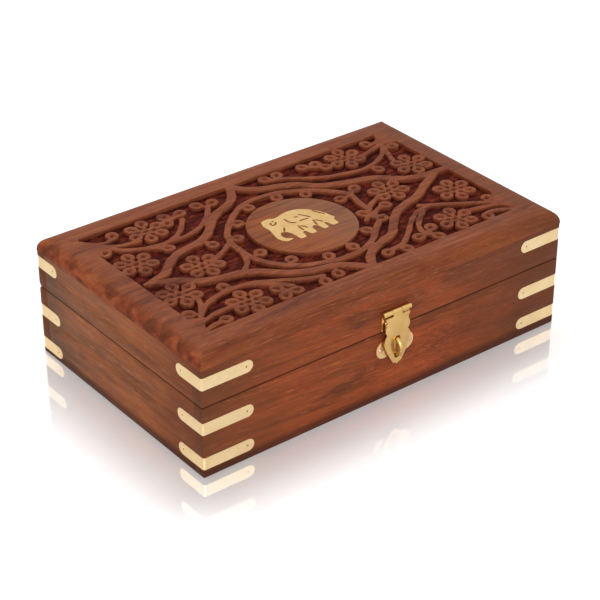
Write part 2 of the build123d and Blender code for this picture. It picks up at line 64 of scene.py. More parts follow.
top_low, top_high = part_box("lid_top_panel")
half_x = top_high.x
half_y = top_high.y
round_radius = 0.0065
round_steps = 8
border_x = 0.013
border_y = 0.014
field_x = half_x - border_x
field_y = half_y - border_y
grid_pitch = 0.00048
punch_spacing = 0.0013

# What the chisel and the punch leave, in millimetres: how far each form lies below the border,
# how round its top is and how far its edge wanders, how a bud is gouged, and how the walls and
# the ground run
carving_depth = 2.4
disc_drop = 0.1
ring_drop = 0.12
stem_drop = 0.2
neck_drop = 0.35
knot_drop = 0.3
bud_drop = 0.15
heart_drop = 0.3
strand_crown = 0.12
strand_wobble = 0.13
bud_crown = 0.14
gouge_depth = 1.5
gouge_back = 0.15
gouge_length = 1.75
gouge_width = 1.05
wall_run = 0.48
edge_softness = 0.2
edge_drop = 0.06
punch_depth = 0.3

# How much a bud is squeezed along its stem and across it, how its gouge bows, where that is
# full and where it ends, and how fast a strand's edge wanders, in radians to the millimetre
squeeze_along = 0.96
squeeze_across = 1.03
gouge_bow = 0.2
gouge_full = 0.45
gouge_end = 1.15
wobble_across = 0.55
wobble_along = 0.4

# The drawing of the carving, in millimetres from the lid's front left corner
medallion = (101.0, 62.3)
medallion_radius = 25.6
vine_width = 4.1
ring_width = 2.9
stem_width = 2.4
neck_width = 1.9
knot_width = 2.5
vines = [
    [(15, 62.2), (21.1, 63.2), (27.2, 64.6), (32.6, 69.5), (37.5, 73.4), (44.5, 76.4), (54.2, 78),
     (62, 81.8), (69.5, 89.2), (77, 95.2), (86, 98.9), (92.5, 104.8), (97.3, 114)],
    [(15, 61.6), (21.5, 59.8), (28.5, 56.4), (35.2, 50.6), (42.5, 47.3), (53.1, 45), (60.5, 41.4),
     (68.5, 33.7), (76, 28.7), (87.5, 25.4), (95, 21.4), (103.4, 12)],
    [(191, 64.8), (174.5, 66), (166.2, 70), (159.1, 76.4), (151.5, 79.9), (140.5, 83.4),
     (131.5, 87.4), (124.2, 94.8), (117.7, 98.1), (108, 102), (100.5, 107.2), (97.2, 113)],
    [(187, 64.6), (179.5, 62.4), (170.5, 57.8), (161, 51.8), (152, 49.2), (143, 45.6),
     (134.8, 38.4), (128.3, 31.8), (120.8, 28.9), (112, 25.5), (105.5, 19.6), (102, 12)],
]
# How wide each vine starts, as a share of its width, and how soon it is full
vine_tip_shares = (0.3, 0.3, 0.8, 0.3)
tip_run = 12.0
ring_vines = [
    [(66.2, 70.5), (65.1, 63), (65.4, 54.3), (67.6, 46.6), (73.6, 38.2), (82.8, 31.9), (95.3, 28),
     (108.3, 28.3), (117.5, 32.6), (125, 39), (132.4, 45.2)],
    [(66.2, 70), (69, 76), (74.5, 82.6), (82.5, 89.4), (92.2, 94.7), (103, 95.7), (114, 93.2),
     (123.1, 88.2), (131.7, 80.3), (136.6, 72.2), (134.8, 61.5), (134.5, 55.8)],
]
stems = [
    [(17, 23.5), (21.2, 28.6), (27.2, 33.1), (34.5, 35.9), (43.5, 36.8), (53, 35), (62, 30.4),
     (70.6, 25), (80.5, 21.3)],
    [(49, 36.1), (55.7, 31.8), (60.8, 27.6), (65, 22.8)],
    [(16.5, 22.2), (23, 24), (30, 25), (36, 24.6)],
    [(12, 14.6), (18, 16.9), (24.5, 18.2)],
    [(17.5, 24.3), (22.7, 31), (25.6, 36.5), (26.4, 41)],
    [(12, 111.3), (17, 105.4), (22, 103.2), (26.6, 104.6)],
    [(17, 103.2), (21.4, 99.9), (27, 96.8), (35, 95.8)],
    [(20, 100), (23.4, 94.5), (28.8, 90.7), (35.5, 87), (40.5, 83)],
    [(34, 88.2), (42.6, 87), (49.5, 88.8), (56, 93.8), (61.5, 100.5)],
    [(44.5, 87), (54.2, 86.6), (62.5, 89.1), (70.5, 94.6), (78, 103.2)],
    [(49.5, 61), (57, 64.2), (65.8, 69.6)],
    [(65.2, 64), (64.2, 57.5), (61.6, 51.2), (56.5, 46)],
    [(184.8, 107.5), (181.5, 101.4), (176, 95.2), (168.5, 90.7), (159.5, 88.2), (149.7, 90),
     (139.5, 93), (130.5, 98), (124, 103.2), (116.5, 106.3)],
    [(181.2, 100.6), (176.1, 87.6)],
    [(186.5, 109.5), (181.5, 106.6), (176.5, 106)],
    [(184, 105.2), (178, 102.5), (172, 100.8), (166.5, 99.5)],
    [(154.9, 44.2), (160.5, 40.6), (168, 36.4), (177, 30.6), (185, 25)],
    [(158.5, 41.3), (149.7, 39.6), (141.9, 34.4), (134, 27.4), (126.3, 21.9), (118.4, 20.4)],
    [(152.5, 38.6), (147.2, 34.5), (142.6, 30), (139.9, 24.5)],
    [(185, 22.6), (178, 24.9), (169.5, 26.6)],
    [(188, 14.6), (181.5, 18.6), (175.5, 19.6)],
    [(127, 48), (132.6, 53.2), (138.8, 58.9), (146.8, 62.6)],
    [(131.5, 48.5), (136.5, 52.6), (143, 54.6)],
    [(136.4, 71.5), (141, 75.5)],
]
# Each flower: its centre and the way its first petal points, in degrees
flowers = [
    (42.2, 101.2, 15), (22.3, 79.3, 30), (22.3, 46.5, 22), (44.5, 60.5, 34), (42.2, 23.8, 28),
    (158.7, 102.7, 20), (180.2, 78.5, 19), (178.6, 46, 19), (154, 64.5, 34), (160.2, 24.6, 13),
]
petal_count = 6
petal_reach = 7.0
petal_radius = 3.15
heart_radius = 2.3
buds = [
    (91.8, 90.8), (108, 90.8), (120.8, 85.2), (130.5, 71.4), (129.8, 54.2), (121.2, 41),
    (106.7, 33.4), (93, 33.2), (78.1, 40.9), (71.1, 54.2), (70.8, 70.8), (78.9, 82),
    (16.6, 95.7), (27.7, 107.2), (16, 30.8), (26.2, 18), (40.6, 40.2), (58.6, 72.8),
    (73.8, 107.3), (81.6, 105.5), (78.1, 16.9), (86.7, 18.8), (41.4, 82.4), (142.7, 76),
    (185.6, 98.8), (164.1, 84), (185.2, 30.5), (173.5, 17.2), (115.7, 19.6), (124.7, 17.2),
    (114.5, 108.6), (121.8, 108.8), (176.3, 108.2), (143.4, 54.3), (134.1, 45.7),
]
# Three buds that spring from one knot
trefoils = [
    (60.4, 21.2, [(57.8, 25), (57.4, 18), (64.1, 18.8)]),
    (141.2, 21.8, [(135.6, 21.9), (145.8, 25.4), (143.4, 17.2)]),
    (58.4, 104.4, [(55.5, 107.2), (63.7, 105.9), (53.9, 101.6)]),
    (141.6, 104.6, [(136.4, 107.8), (143.4, 106.4), (145.8, 101.2)]),
]
bud_radius = 3.1
# The border runs out into each corner of the field as a blunt wedge, given by its corners
wedges = [
    [(10, 29.5), (10, 13), (12.2, 13), (17.6, 21.6), (18.3, 24.6)],
    [(19.8, 97.5), (20.8, 99.8), (11, 112), (10, 112), (10, 95.6)],
    [(191, 34), (185, 25.8), (184.2, 22.6), (189.5, 13), (191, 13)],
    [(191, 101), (191, 113), (185.5, 113), (182, 105.5), (182.5, 102.6)],
]


def smooth_line(points, steps=6):
    """A smooth line through the points: each run is cut into equal steps of a cubic."""
    knots = [Vector(p) for p in points]
    knots = [2 * knots[0] - knots[1], *knots, 2 * knots[-1] - knots[-2]]
    line = []
    for a, b, c, d in zip(knots, knots[1:], knots[2:], knots[3:]):
        for step in range(steps):
            t = step / steps
            line.append(
                0.5 * (2 * b + (c - a) * t + (2 * a - 5 * b + 4 * c - d) * t * t
                       + (3 * b - a - 3 * c + d) * t ** 3)
            )
    return np.array([*line, knots[-2]])


def on_lid(x, y):
    """A place of the drawing in metres in the box's frame."""
    return (x / 1000 - half_x, y / 1000 - half_y)


def ease(value, low, high):
    """0 below low, 1 above high and a smooth rise between."""
    t = np.clip((value - low) / (high - low), 0, 1)
    return t * t * (3 - 2 * t)


bm = bmesh.new()
columns = round(2 * field_x / grid_pitch)
rows = round(2 * field_y / grid_pitch)
bmesh.ops.create_grid(bm, x_segments=columns, y_segments=rows, size=1)
bmesh.ops.scale(bm, vec=(field_x, field_y, 1), verts=bm.verts)

# Each point of the grid has its place in the drawing, across from the left end and along from
# the front, the signed distance to what stands, positive inside it, the height of its top there
# and how far it is gouged. The form that reaches furthest wins.
places = np.array([v.co[:] for v in bm.verts])
across = (places[:, 0] + half_x) * 1000
along = (places[:, 1] + half_y) * 1000
far = 9.0
foot_room = 1.5
least_run = 1e-9
inside = np.full(len(places), -far)
top = np.zeros(len(places))
gouged = np.zeros(len(places))


def raise_form(where, distance, height):
    """Lets a form stand, not gouged, wherever it reaches further out than what is there."""
    wins = distance > inside[where]
    inside[where] = np.where(wins, distance, inside[where])
    top[where] = np.where(wins, height, top[where])
    gouged[where] = np.where(wins & (distance > 0), 0, gouged[where])


def near(points, reach):
    """The grid's points within a reach of the box round some places, and a wall's foot more."""
    low = points.min(0) - (reach + foot_room)
    high = points.max(0) + (reach + foot_room)
    hit = (across > low[0]) & (across < high[0]) & (along > low[1]) & (along < high[1])
    return np.nonzero(hit)[0]


def raise_strand(points, width, height, start_share=1.0):
    """A strand, flat on top and a little uneven, which may start as a slender tip."""
    line = smooth_line(points)
    where = near(line, width)
    spots = np.stack([across[where], along[where]], 1)
    best = np.full(len(where), -far)
    travelled = 0.0
    waves = spots[:, 0] * wobble_across + spots[:, 1] * wobble_along + width
    wobble = strand_wobble * np.sin(waves)
    for a, b in zip(line, line[1:]):
        run = b - a
        length = np.linalg.norm(run)
        t = np.clip((spots - a) @ run / (run @ run + least_run), 0, 1)
        gap = np.linalg.norm(spots - a - t[:, None] * run, axis=1)
        share = start_share + (1 - start_share) * ease(travelled + t * length, 0, tip_run)
        best = np.maximum(best, (width / 2 + wobble) * share - gap)
        travelled += length
    crown = strand_crown * (1 - np.clip(2 * best / width, 0, 1)) ** 2
    raise_form(where, best, height - crown)


def raise_bud(x, y, turn, radius, height):
    """A round bud or petal, a little longer than wide, that points away from its stem, with a
    comma-shaped hollow."""
    where = near(np.array([[x, y]]), radius)
    dx = across[where] - x
    dy = along[where] - y
    out = dx * math.cos(turn) + dy * math.sin(turn)
    side = dy * math.cos(turn) - dx * math.sin(turn)
    reach = np.hypot(out * squeeze_along, side * squeeze_across) / radius
    raise_form(where, (1 - reach) * radius, height - bud_crown * reach ** 2)
    down = out + gouge_back
    hole = np.hypot(down / gouge_length, (side - gouge_bow * down ** 2) / gouge_width)
    gouged[where] = np.maximum(gouged[where], 1 - ease(hole, gouge_full, gouge_end))


strands = [(points, vine_width, 0.0, share) for points, share in zip(vines, vine_tip_shares)]
strands += [(points, ring_width, -ring_drop, 1.0) for points in ring_vines]
strands += [(points, stem_width, -stem_drop, 1.0) for points in stems]
for points, width, height, share in strands:
    raise_strand(points, width, height, share)
strand_spots = np.concatenate([smooth_line(points) for points, *_ in strands])
for x, y, turn in flowers:
    for petal in range(petal_count):
        angle = math.radians(turn + 360 * petal / petal_count)
        tip = (x + petal_reach * math.cos(angle), y + petal_reach * math.sin(angle))
        raise_strand([(x, y), tip], neck_width, -neck_drop)
        raise_bud(*tip, angle, petal_radius, -bud_drop)
    raise_bud(x, y, math.radians(turn), heart_radius, -heart_drop)
for x, y in buds:
    gaps = strand_spots - (x, y)
    stalk = strand_spots[np.hypot(*gaps.T).argmin()]
    raise_strand([(x, y), stalk], neck_width, -neck_drop)
    raise_bud(x, y, math.atan2(y - stalk[1], x - stalk[0]), bud_radius, -bud_drop)
for x, y, lobes in trefoils:
    for lobe in lobes:
        raise_strand([(x, y), lobe], knot_width, -knot_drop)
        raise_bud(*lobe, math.atan2(lobe[1] - y, lobe[0] - x), bud_radius, -bud_drop)
everywhere = np.arange(len(places))
from_disc = medallion_radius - np.hypot(across - medallion[0], along - medallion[1])
raise_form(everywhere, from_disc, np.full(len(places), -disc_drop))
flush = np.zeros(len(places))
from_border = 1000 * np.maximum(np.abs(places[:, 0]) - field_x, np.abs(places[:, 1]) - field_y)
raise_form(everywhere, from_border, flush)
for corners in wedges:
    middle = np.mean(corners, axis=0)
    depth_in = np.full(len(places), far)
    for a, b in zip(corners, corners[1:] + corners[:1]):
        edge = np.subtract(b, a)
        normal = np.array([-edge[1], edge[0]]) / np.hypot(*edge)
        if normal @ (middle - a) < 0:
            normal = -normal
        depth_in = np.minimum(depth_in, (across - a[0]) * normal[0] + (along - a[1]) * normal[1])
    raise_form(everywhere, depth_in, flush)

# The grid's points near an edge, or near the foot of its wall, slide onto it by up to half a
# cell, so that both run smoothly. Those on the field's rim stay.
snap_reach = 0.24
rim_width = 0.1
least_slope = 0.3
order = np.lexsort((across.round(4), along.round(4)))
slope_y, slope_x = np.gradient(inside[order].reshape(rows + 1, columns + 1), grid_pitch * 1000)
slope = np.zeros((len(places), 2))
slope[order, 0] = slope_x.ravel()
slope[order, 1] = slope_y.ravel()
steep = np.maximum((slope ** 2).sum(1), least_slope)
levels = np.array([0.0, -wall_run])
level = levels[np.abs(inside[:, None] - levels).argmin(1)]
snaps = (np.abs(level - inside) < snap_reach) & (from_border < -rim_width)
slide = np.clip((level - inside)[:, None] * slope / steep[:, None], -snap_reach, snap_reach)
inside = np.where(snaps, level, inside)
places[:, :2] += slide * snaps[:, None] / 1000

wall = ease(inside, -wall_run, 0.0)
softened = edge_drop * (1 - ease(inside, 0.0, edge_softness)) * (from_border < 0)
noise_slice = 3.7
punched = np.array([
    noise.noise(Vector((x, y, noise_slice))) for x, y in places[:, :2] / punch_spacing
])
ground = -carving_depth + punch_depth * punched
relief = ground + (top - ground) * wall - (softened + gouge_depth * gouged) * wall
places[:, 2] = top_high.z + np.minimum(relief, 0) / 1000
for vert, place in zip(bm.verts, places):
    vert.co = place

# Each face is split along its shorter diagonal, which runs along an edge and not across it.
bmesh.ops.triangulate(bm, faces=bm.faces[:], quad_method="SHORT_EDGE")

# The plain border, the rounded edges and the sides grow out of the field's rim.
rings = [(round_radius, 0.0)]
for step in range(1, round_steps + 1):
    turn = math.pi / 2 * step / round_steps
    rings.append((round_radius * (1 - math.sin(turn)), round_radius * (1 - math.cos(turn))))
rings.append((0.0, top_high.z - top_low.z))
field_faces = set(bm.faces)
rim = [e for e in bm.edges if e.is_boundary]
reach_x = field_x
reach_y = field_y
for inset, drop in rings:
    grown = bmesh.ops.extrude_edge_only(bm, edges=rim)["geom"]
    for vert in [g for g in grown if isinstance(g, bmesh.types.BMVert)]:
        vert.co.x *= (half_x - inset) / reach_x
        vert.co.y *= (half_y - inset) / reach_y
        vert.co.z = top_high.z - drop
    reach_x = half_x - inset
    reach_y = half_y - inset
    rim = [g for g in grown if isinstance(g, bmesh.types.BMEdge) and g.is_boundary]
bmesh.ops.contextual_create(bm, geom=rim)

# The first material slot is the border's, the second the carving's and the third the disc's.
disc_middle = Vector(on_lid(*medallion))
for face in field_faces:
    from_middle = (face.calc_center_median().xy - disc_middle).length
    face.material_index = 2 if from_middle < medallion_radius / 1000 else 1

crease_angle = math.radians(38)


def make_piece(bm, name, materials):
    """Makes the mesh an object of that name, smooth but for its creases."""
    bmesh.ops.recalc_face_normals(bm, faces=bm.faces)
    for face in bm.faces:
        face.smooth = True
    for edge in bm.edges:
        if len(edge.link_faces) == 2 and edge.calc_face_angle() > crease_angle:
            edge.smooth = False
    mesh = bpy.data.meshes.new(name)
    bm.to_mesh(mesh)
    bm.free()
    for material in materials:
        mesh.materials.append(material)
    piece = bpy.data.objects.new(name, mesh)
    bpy.context.scene.collection.objects.link(piece)
    return piece


def linear(colour):
    """An sRGB hex value as the linear colour that nodes use."""
    parts = [int(colour[i : i + 2], 16) / 255 for i in (0, 2, 4)]
    return [p / 12.92 if p <= 0.04045 else ((p + 0.055) / 1.055) ** 2.4 for p in parts] + [1.0]


def blank(name):
    """A new material with an empty node tree."""
    material = bpy.data.materials.new(name)
    material.use_nodes = True
    material.node_tree.nodes.clear()
    return material


def add(owner, kind, inputs=None, stops=(), **settings):
    """Adds a node to a material or to the world, with its settings, a colour ramp's stops, and
    values, hex colours or other nodes' outputs on its inputs. A node whose sockets share a name
    has them by number: a colour mix has its share on 0, its colours on 6 and 7, its result on 2."""
    node = owner.node_tree.nodes.new(kind)
    for name, value in settings.items():
        setattr(node, name, value)
    for name, value in (inputs or {}).items():
        if isinstance(value, bpy.types.NodeSocket):
            owner.node_tree.links.new(value, node.inputs[name])
        else:
            node.inputs[name].default_value = linear(value) if isinstance(value, str) else value
    for index, (position, colour) in enumerate(stops):
        elements = node.color_ramp.elements
        if index == len(elements):
            elements.new(position)
        elements[index].position = position
        elements[index].color = linear(colour)
    return node


# How the wood is finished. Depths, reaches and heights are in metres, and a reach is given as
# where its shade begins and where it is full.
black = "000000"
satin = 0.07
wander = 0.07
pore_shade = 0.224
pore_depth = 0.000028
line_depth = 0.00012
# Where painted shade reaches: in the seam between base and lid, and as a shadow at the foot
seam_shade_reach = (0.0006, 0.00028)
foot_shadow_reach = (0.0060, 0.0024)
stain_roughness = 0.8
# How far below the border the carving's stain and painted shade are full, and where they begin
stain_and_shade_full = 0.0020
stain_and_shade_start = 0.0006


def streaks(wood, grain, cells, detail, rough, bend=0.0):
    """A cloudy pattern, by its cells to the metre along, across and through the grain, so that
    90 is 11 mm and 2100 is 0.5 mm."""
    drawn = add(wood, "ShaderNodeMapping", {"Vector": grain, "Scale": cells})
    return add(
        wood, "ShaderNodeTexNoise",
        {"Vector": drawn.outputs["Vector"], "Scale": 1.0, "Detail": detail, "Roughness": rough,
         "Distortion": bend},
    ).outputs["Fac"]


def tinted(wood, colour, shade, value, start, full, share=1.0, blend="MIX"):
    """Lays a shade over a colour: none of it where the value is at start, its share at full."""
    amount = add(
        wood, "ShaderNodeMapRange",
        {"Value": value, "From Min": start, "From Max": full, "To Max": share},
    ).outputs["Result"]
    return add(
        wood, "ShaderNodeMix", {0: amount, 6: colour, 7: shade},
        data_type="RGBA", blend_type=blend,
    ).outputs[2]


def dusted(wood, grain, colour):
    """Red wood dust, rubbed into the pores in patches of 20 mm and dots of 0.4 mm."""
    patches = add(
        wood, "ShaderNodeMapRange",
        {"Value": streaks(wood, grain, (16, 60, 45), detail=2.0, rough=0.5, bend=0.8),
         "From Min": 0.52, "From Max": 0.7, "To Max": 0.75},
    ).outputs["Result"]
    dots = streaks(wood, grain, (420, 3000, 2300), detail=4.0, rough=0.7)
    return tinted(wood, colour, "c0552f", dots, 0.44, 0.66, patches)


def end_figured(wood, grain, colour, end_on, end_tones):
    """Cells of 5 to 8 mm in three tones, on faces that look along the grain."""
    figure = add(
        wood, "ShaderNodeValToRGB",
        {"Fac": streaks(wood, grain, (50, 130, 210), detail=2.0, rough=0.5, bend=0.5)},
        stops=zip((0.36, 0.5, 0.66), end_tones),
    ).outputs["Color"]
    return tinted(wood, colour, figure, end_on, 0.3, 0.75, 0.62)


def seam_and_foot_shaded(wood, colour, height, seam):
    """Painted shade in the seam between base and lid, and a painted shadow that darkens the foot
    for some millimetres.
    """
    above = add(wood, "ShaderNodeMath", {0: height, 1: seam}, operation="SUBTRACT").outputs[0]
    from_seam = add(wood, "ShaderNodeMath", {0: above}, operation="ABSOLUTE").outputs[0]
    colour = tinted(wood, colour, "2a110b", from_seam, *seam_shade_reach, 0.45)
    return tinted(wood, colour, "44241a", height, *foot_shadow_reach, 0.8)


def stained_and_shaded(wood, grain, colour, rough, height, lower, upper):
    """A dark matt stain and painted shade in the carving's ground, full below one height and gone
    above another.
    """
    dye_and_shade = add(
        wood, "ShaderNodeValToRGB",
        {"Fac": streaks(wood, grain, (160, 420, 420), detail=4.0, rough=0.7, bend=0.3)},
        stops=[(0.34, "2a0f0a"), (0.5, "4c1710"), (0.66, "7c311e")],
    ).outputs["Color"]
    rough = add(
        wood, "ShaderNodeMapRange",
        {"Value": height, "From Min": lower, "From Max": upper, "To Min": stain_roughness,
         "To Max": rough},
    ).outputs["Result"]
    return tinted(wood, colour, dye_and_shade, height, upper, lower), rough


def rosewood(name, tones, shift=(0, 0, 0), turn=0.0, slant=0.0, ends=(), end_tint="f2e4d2",
             end_tones=None, seam=None, dusty=False, stain_and_shade=None, roughness=0.45):
    """Indian rosewood, sawn, sanded and wiped with a satin oil. To the eye: broad brown to red
    bands 11 mm wide, orange streaks of 2 mm, fine dark lines of 1 mm, short dark pores drawn
    0.5 mm wide so that they show, darker board ends, and end grain where a face is cut across."""
    wood = blank(name)
    coords = add(wood, "ShaderNodeTexCoord").outputs
    grain = add(
        wood, "ShaderNodeMapping",
        {"Vector": coords["Object"], "Location": shift, "Rotation": (0, slant, turn)},
    ).outputs["Vector"]
    bands = streaks(wood, grain, (9, 90, 66), detail=4.0, rough=0.6, bend=1.5)
    clouds = streaks(wood, grain, (34, 120, 90), detail=4.0, rough=0.6, bend=0.6)
    glow = streaks(wood, grain, (30, 520, 380), detail=3.0, rough=0.65, bend=0.9)
    flecks = streaks(wood, grain, (130, 1500, 1200), detail=2.0, rough=0.6, bend=0.5)
    lines = streaks(wood, grain, (22, 900, 640), detail=6.0, rough=0.62, bend=0.6)
    pores = streaks(wood, grain, (160, 2100, 1500), detail=3.0, rough=0.6)
    dark, brown, red, orange, fleck = tones
    colour = add(
        wood, "ShaderNodeValToRGB", {"Fac": bands},
        stops=[(0.32, dark), (0.45, brown), (0.6, red), (0.74, brown)],
    ).outputs["Color"]
    colour = tinted(wood, colour, dark, clouds, 0.5, 0.7, 0.45)
    colour = tinted(wood, colour, orange, glow, 0.5, 0.72, 0.5)
    colour = tinted(wood, colour, dark, glow, 0.44, 0.28, 0.4)
    colour = tinted(wood, colour, fleck, flecks, 0.58, 0.7, 0.34)
    colour = tinted(wood, colour, black, lines, 0.52, 0.3, 0.2)
    if dusty:
        colour = dusted(wood, grain, colour)

    # The board darkens towards its ends, each from a start to a full place along the grain.
    long_axis = "Y" if turn else "X"
    place = add(wood, "ShaderNodeSeparateXYZ", {"Vector": coords["Object"]}).outputs
    wandering = add(
        wood, "ShaderNodeMath", {0: clouds, 1: wander, 2: place[long_axis]},
        operation="MULTIPLY_ADD",
    ).outputs[0]
    # On the disc this lays a painted sheen that greys its right end
    for start, full, share, shade in ends:
        from_start = start + wander / 2
        colour = tinted(wood, colour, shade, wandering, from_start, full + wander / 2, share)
    filled = add(
        wood, "ShaderNodeMapRange", {"Value": pores, "From Min": 0.3, "From Max": 0.4}
    ).outputs["Result"]
    colour = tinted(wood, colour, black, filled, 1.0, 0.0, pore_shade)
    facing = add(wood, "ShaderNodeSeparateXYZ", {"Vector": coords["Normal"]}).outputs[long_axis]
    end_on = add(wood, "ShaderNodeMath", {0: facing}, operation="ABSOLUTE").outputs[0]
    colour = tinted(wood, colour, end_tint, end_on, 0.75, 0.97, blend="MULTIPLY")
    rough = add(
        wood, "ShaderNodeMapRange",
        {"Value": lines, "From Min": 0.3, "From Max": 0.7, "To Min": roughness + 0.07,
         "To Max": roughness - 0.05},
    ).outputs["Result"]
    if end_tones:
        colour = end_figured(wood, grain, colour, end_on, end_tones)
    # Painted shade along the seam, and a painted contact shadow at the foot
    if seam:
        colour = seam_and_foot_shaded(wood, colour, place["Z"], seam)
    # The carving's stain, which also paints shade into its hollows and down its walls
    if stain_and_shade:
        colour, rough = stained_and_shaded(wood, grain, colour, rough, place["Z"], *stain_and_shade)

    bump = add(
        wood, "ShaderNodeBump", {"Height": filled, "Strength": 0.3, "Distance": pore_depth}
    ).outputs["Normal"]
    bump = add(
        wood, "ShaderNodeBump",
        {"Height": lines, "Strength": 0.3, "Distance": line_depth, "Normal": bump},
    ).outputs["Normal"]
    shader = add(
        wood, "ShaderNodeBsdfPrincipled",
        {"Base Color": colour, "Roughness": rough, "Normal": bump, "IOR": 1.5,
         "Specular IOR Level": satin},
    )
    add(wood, "ShaderNodeOutputMaterial", {"Surface": shader.outputs["BSDF"]})
    return wood


border_wood = rosewood(
    "rosewood_sanded_border", ("63301e", "7e4229", "8b4a2b", "a35d37", "c07d52"),
    shift=(0.31, 0.12, 0.0), ends=((0.05, 0.095, 0.4, "5e3826"),), end_tint="f0c8a8",
    end_tones=("4a2618", "843c22", "a85a34"),
)
# The carving's wood: its ground is stained dark, and this also paints shade into the hollows
carved_wood = rosewood(
    "rosewood_carved_relief", ("622e1e", "7c4129", "8b482c", "a15c38", "bb774d"),
    shift=(0.31, 0.12, 0.0), stain_and_shade=(top_high.z - stain_and_shade_full, top_high.z - stain_and_shade_start),
    roughness=0.5,
)
# The disc is paler than the carving, and its right end is greyer with a painted sheen of the
# lamp high behind the box.
disc_wood = rosewood(
    "rosewood_disc_with_painted_sheen", ("6c351d", "8c4a27", "98512b", "ae6233", "c27b48"),
    shift=(0.47, 0.29, 0.1), ends=((-0.014, 0.03, 0.5, "7a5c48"),), roughness=0.42,
)
carved_top = make_piece(bm, "carved_top", [border_wood, carved_wood, disc_wood])
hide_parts("lid_top_panel")
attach(carved_top, "lid")

# The elephant is sawn from 1.2 mm brass sheet, let into the disc and sanded flush. Its saddle
# cloth, legs, eye and tail are engraved lines, darkened by old polish.

elephant_low, elephant_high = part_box("elephant_inlay")
elephant_thickness = elephant_high.z - elephant_low.z
engraving_width = 0.95
engraving_taper = 0.33
engraving_swell = 1.7
engraving_depth = 0.00025
scratch_depth = 0.00005
foot_round = 0.24
elephant_steps = 5
elephant_back = [
    (87.4, 75.4), (91.4, 75.9), (94.9, 74.6), (102.5, 76.3), (109.3, 74.3), (115.0, 67.2),
    (117.2, 58.8),
]
elephant_legs = [
    (117.2, 58.8), (115.6, 57.9), (115.2, 53.4), (111.8, 53.2), (111.0, 57.4), (109.6, 57.6),
    (109.4, 53.1), (106.5, 52.9), (106.2, 57.0), (104.6, 58.6), (102.8, 57.6), (102.2, 52.7),
    (99.2, 52.9), (98.4, 57.0), (96.7, 56.6), (95.9, 52.3), (92.4, 52.1), (92.4, 57.2),
    (91.4, 60.8),
]
elephant_trunk = [
    (91.4, 60.8), (88.9, 62.0), (87.2, 60.0), (87.3, 56.8), (89.9, 54.6), (86.0, 54.2),
    (84.1, 58.3), (84.9, 62.6), (85.9, 67.0), (85.8, 71.5), (87.4, 75.4),
]
engraved = [
    [(90.6, 72.2), (89.6, 70.9), (90.1, 69.6), (91.5, 70.0), (93.0, 71.5)],
    [(91.4, 72.7), (92.5, 72.6)],
    [(97.5, 71.4), (97.4, 68.8), (98.2, 66.5), (100.1, 65.5)],
    [(102.1, 70.2), (103.9, 69.1)],
    [(105.0, 71.1), (106.3, 69.4), (107.4, 67.4), (108.3, 65.3)],
    [(102.0, 65.7), (104.4, 65.7), (106.7, 65.2)],
    [(92.7, 65.0), (91.4, 63.2), (90.4, 61.8)],
    [(98.3, 57.7), (98.3, 60.0), (98.8, 62.7)],
    [(99.5, 62.0), (100.5, 60.5), (101.2, 58.4)],
    [(106.1, 57.8), (106.8, 60.4), (107.6, 63.0)],
    [(108.3, 62.2), (109.2, 60.8), (110.2, 58.7)],
    [(112.5, 70.2), (113.7, 67.4), (115.3, 63.8)],
]


def eased_corners(points, share):
    """A line whose inner corners are cut to short arcs, each that share of its two runs."""
    line = [Vector(points[0])]
    for before, here, after in zip(points, points[1:], points[2:]):
        before, here, after = Vector(before), Vector(here), Vector(after)
        start = here.lerp(before, share)
        end = here.lerp(after, share)
        line += [start, (start + end + 2 * here) / 4, end]
    return [tuple(p) for p in [*line, Vector(points[-1])]]


def groove(points, width):
    """A closed outline round a line, narrower at both ends."""
    line = smooth_line(points, elephant_steps)
    side = np.gradient(line, axis=0)
    side = np.stack([-side[:, 1], side[:, 0]], 1) / np.linalg.norm(side, axis=1)[:, None]
    turns = np.linspace(engraving_taper, math.pi - engraving_taper, len(line))
    half = width / 2 * np.minimum(1, engraving_swell * np.sin(turns))[:, None]
    return [tuple(p) for p in [*(line + side * half), *(line - side * half)[::-1]]]


def cut_plate(outline, holes, top, thickness, sunk):
    """A flat plate with an outline and holes, in which each hole has a floor at a depth."""
    bm = bmesh.new()

    def rim_of(points):
        verts = [bm.verts.new((*point, top)) for point in points]
        return [bm.edges.new(pair) for pair in zip(verts, verts[1:] + verts[:1])]

    outer = rim_of(outline)
    inner = [rim_of(hole) for hole in holes]
    edges = outer + [edge for rim in inner for edge in rim]
    bmesh.ops.triangle_fill(bm, edges=edges, use_beauty=True, normal=(0, 0, 1))
    for rim, drop in [(outer, thickness)] + [(rim, sunk) for rim in inner]:
        grown = bmesh.ops.extrude_edge_only(bm, edges=rim)["geom"]
        lowered = [g for g in grown if isinstance(g, bmesh.types.BMVert)]
        bmesh.ops.translate(bm, vec=(0, 0, -drop), verts=lowered)
        loop = [g for g in grown if isinstance(g, bmesh.types.BMEdge) and g.is_boundary]
        floor = bmesh.ops.contextual_create(bm, geom=loop)["faces"]
        for face in floor:
            face.material_index = 0 if rim is outer else 1
    return bm


